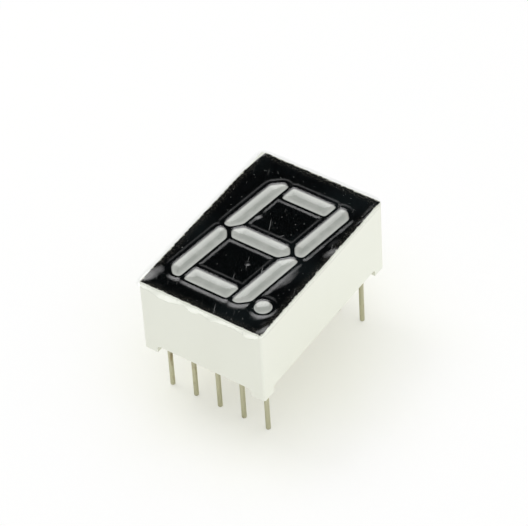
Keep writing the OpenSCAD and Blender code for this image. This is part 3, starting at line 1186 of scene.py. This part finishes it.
@dataclass
class Back:
    """The resin that closes the back, with the rings where it has crept up the pins."""

    creep: float = 0.30
    climb: float = 0.42
    sink: float = 0.03
    sides: int = 28
    steps: int = 15
    hollow: float = 2.6
    finish: CastResin = CastResin()

    def build(self) -> list[Piece]:
        """Dresses the filling and grows the creep rings."""
        material = self.finish.build()
        return [*dress(material, "back_fill"), self.rings(material)]

    def rings(self, material: Material) -> Piece:
        """Grows one ring round each pin where it leaves the filling.

        Args:
            material: The resin.

        Returns:
            The rings, as one piece.
        """
        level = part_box("back_fill")[0].z
        low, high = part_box("pin_1")
        tree = Tree("resin_creep", {
            "Pin radius": (high.x - low.x) / 2, "Creep": self.creep * MM,
            "Climb": self.climb * MM, "Sink": self.sink * MM})
        given = tree.given
        spots = bpy.data.meshes.new("pin_places")
        spots.from_pydata([((a.x + b.x) / 2, (a.y + b.y) / 2, level)
                           for a, b in map(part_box, PINS)], [], [])
        circle = tree.add("GeometryNodeCurvePrimitiveCircle", {
            "Resolution": self.sides, "Radius": given["Pin radius"]})
        beyond = 1 + 1 / (self.steps - 1)
        line = tree.add("GeometryNodeCurvePrimitiveLine", {"End": (beyond, 0, 0)})
        profile = tree.add("GeometryNodeResampleCurve", {"Curve": line, "Count": self.steps + 1})
        along = tree.add("SeparateXYZ", {0: tree.add("GeometryNodeInputPosition")})
        slope = tree.math("LESS_THAN", along, (1 + beyond) / 2)
        out = tree.math("MULTIPLY", tree.math("MULTIPLY", along, slope), given["Creep"])
        rest = tree.math("MAXIMUM", tree.math("SUBTRACT", 1.0, along), 0.0)
        up = tree.math("MULTIPLY", tree.math("POWER", rest, self.hollow), given["Climb"])
        down = tree.math("SUBTRACT", given["Sink"], up)
        shaped = tree.add("GeometryNodeSetPosition", {
            "Geometry": profile, "Position": tree.add("CombineXYZ", {0: out, 1: down})})
        closed = tree.add("GeometryNodeSetSplineCyclic", {"Geometry": shaped, "Cyclic": True})
        swept = tree.add("GeometryNodeCurveToMesh", {"Curve": circle, "Profile Curve": closed})
        put = tree.add("GeometryNodeInstanceOnPoints", {
            "Points": given["Geometry"], "Instance": swept})
        tree.finish(put, material)
        return seat(tree.shape(placed("resin_creep", spots)), "back_fill")


@dataclass
class PinRows:
    """The ten pins, in two rows of five, which the CAD gives whole."""

    finish: TinnedWire = TinnedWire()

    def build(self) -> list[Piece]:
        """Dresses the pins."""
        return dress(self.finish.build(), *PINS)


# ---- studio


class RayKind(Enum):
    """The kinds of ray that the studio's surroundings answer in their own way."""

    CAMERA = "Is Camera Ray"
    GLOSSY = "Is Glossy Ray"
    THROUGH = "Is Transmission Ray"


@dataclass
class Studio:
    """The pale floor, the soft surroundings, the lamp and the camera."""

    azimuth: float = 36.36
    elevation: float = 45.37
    roll: float = -3.68
    distance: float = 282.0
    lens: float = 219.94
    target: Triple = (-0.71, 1.16, 4.0)
    floor_size: float = 3000.0
    # Round the display the floor is painted darker and warmer: a painted shadow that fades out
    # between the two radii.
    floor_shade_tint: Colour = (0.966, 0.974, 0.840)
    floor_far: Colour = (0.978, 0.982, 0.960)
    shade_radius: float = 6.0
    shade_fade_radius: float = 28.0
    fringe: float = 6.0
    shade_lift: float = 0.36
    far_lift: float = 0.85
    ambient: float = 0.86
    uneven: float = 0.24
    bright_way: Triple = (0.80, 0.60, 0.0)
    # The reflected room: places from the horizon, 0, to overhead, 1, and how bright each is.
    ceiling: tuple[tuple[float, float], ...] = (
        (0.0, 0.8), (0.36, 0.8), (0.655, 0.004), (0.755, 0.004), (0.90, 3.2), (0.95, 3.2),
        (0.985, 0.3), (1.0, 0.3),
    )
    lamp_power: float = 0.30
    lamp_size: float = 180.0
    lamp_place: Triple = (-220.0, 20.0, 340.0)

    def build(self) -> None:
        """Sets up the studio."""
        self.floor()
        self.surroundings()
        self.lamp()
        self.camera()
        bpy.context.scene.view_settings.view_transform = "Standard"

    def floor(self) -> None:
        """Lays the floor at the pins' tips. Round the display the floor is painted darker and warmer,
        as a painted shadow.
        """
        half, level = self.floor_size / 2, CAD_BOX[0].z / MM
        corners = [(x * half, y * half, level) for x, y in ((-1, -1), (1, -1), (1, 1), (-1, 1))]
        s = Shader("studio_floor")
        x, y, _ = s.axes()
        # A painted shadow: near the display the floor takes the warm shade colour and less of the
        # white lift.
        radius = s.math("SQRT", s.math("ADD", s.math("MULTIPLY", x, x), s.math("MULTIPLY", y, y)))
        uneven = s.math("ADD", radius, s.math("MULTIPLY", s.noise(12.0, 2.0), self.fringe * MM))
        away = s.band(uneven, self.shade_radius * MM, self.shade_fade_radius * MM)
        matt = s.add("BsdfDiffuse", {"Color": s.mix(away, self.floor_shade_tint, self.floor_far)})
        pale = s.add("Emission", {"Color": (1.0, 1.0, 1.0)})
        seen = s.add("LightPath").outputs[RayKind.CAMERA.value]
        part = s.math("MULTIPLY", seen, s.band(away, 0.0, 1.0, self.shade_lift, self.far_lift))
        material = s.end(s.add("MixShader", {0: part, 1: matt, 2: pale}))
        new_piece("studio_floor", np.array(corners), [[0, 1, 2, 3]], material, False)

    def surroundings(self) -> None:
        """Makes the world: a white room with a soft ceiling light."""
        world = bpy.data.worlds.new("studio")
        bpy.context.scene.world = world
        world.use_nodes = True
        w = Nodes(world.node_tree)
        way = w.add("TexCoord").outputs["Generated"]
        height = w.add("SeparateXYZ", {0: way}).outputs[2]
        lean = w.add("VectorMath", {0: way, 1: self.bright_way}, operation="DOT_PRODUCT")
        side = w.add("MapRange", {
            "Value": lean.outputs["Value"], "From Min": -1.0, "From Max": 1.0,
            "To Min": self.ambient - self.uneven, "To Max": self.ambient + self.uneven})
        ceiling = w.add("ValToRGB", {"Fac": height})
        stops = ceiling.color_ramp.elements
        while len(stops) < len(self.ceiling):
            stops.new(0.5)
        for stop, (place, level) in zip(stops, self.ceiling):
            stop.position = place
            stop.color = (level, level, level, 1)
        rays = w.add("LightPath").outputs
        glossy = w.mix(rays[RayKind.GLOSSY.value], side, ceiling)
        white = w.math("MAXIMUM", rays[RayKind.CAMERA.value], rays[RayKind.THROUGH.value])
        shown = w.mix(white, glossy, (1.0, 1.0, 1.0))
        w.add("OutputWorld", {"Surface": w.add("Background", {"Color": shown})})

    def lamp(self) -> None:
        """Hangs one large soft lamp over the left of the display."""
        light = bpy.data.lights.new("soft_lamp", "AREA")
        light.energy = self.lamp_power
        light.shape = "DISK"
        light.size = self.lamp_size * MM
        place = Vector(self.lamp_place) * MM
        holder = placed("soft_lamp", light)
        aimed = (-place).to_track_quat("-Z", "Y").to_matrix().to_4x4()
        holder.matrix_world = Matrix.Translation(place) @ aimed
        holder.visible_glossy = False

    def camera(self) -> None:
        """Places the camera."""
        turn, rise, roll = map(math.radians, (self.azimuth, self.elevation, self.roll))
        back = Vector((math.sin(turn) * math.cos(rise), -math.cos(turn) * math.cos(rise),
                       math.sin(rise)))
        level = Vector((0, 0, 1)).cross(back).normalized()
        up = back.cross(level)
        right = level * math.cos(roll) + up * math.sin(roll)
        head = up * math.cos(roll) - level * math.sin(roll)
        place = (Vector(self.target) + back * self.distance) * MM
        lens = bpy.data.cameras.new("studio_camera")
        lens.lens = self.lens
        lens.clip_start = 0.01
        lens.clip_end = 20
        holder = placed("studio_camera", lens)
        turned = Matrix((right, head, back)).transposed().to_4x4()
        holder.matrix_world = Matrix.Translation(place) @ turned
        bpy.context.scene.camera = holder


def main() -> None:
    """Builds the display and its studio, and logs how many faces each piece has."""
    logging.basicConfig(level=logging.INFO, format="%(name)s: %(message)s")
    Studio().build()
    windows = {name: window(f"light_guide_{name}") for name in WELLS}
    for part in (Housing(), Face(windows), Digit(windows), Workings(), Back(), PinRows()):
        for piece in part.build():
            LOG.info("%s: %s, %d faces", type(part).__name__, piece.name, len(piece.data.polygons))


if __name__ == "__main__":
    main()
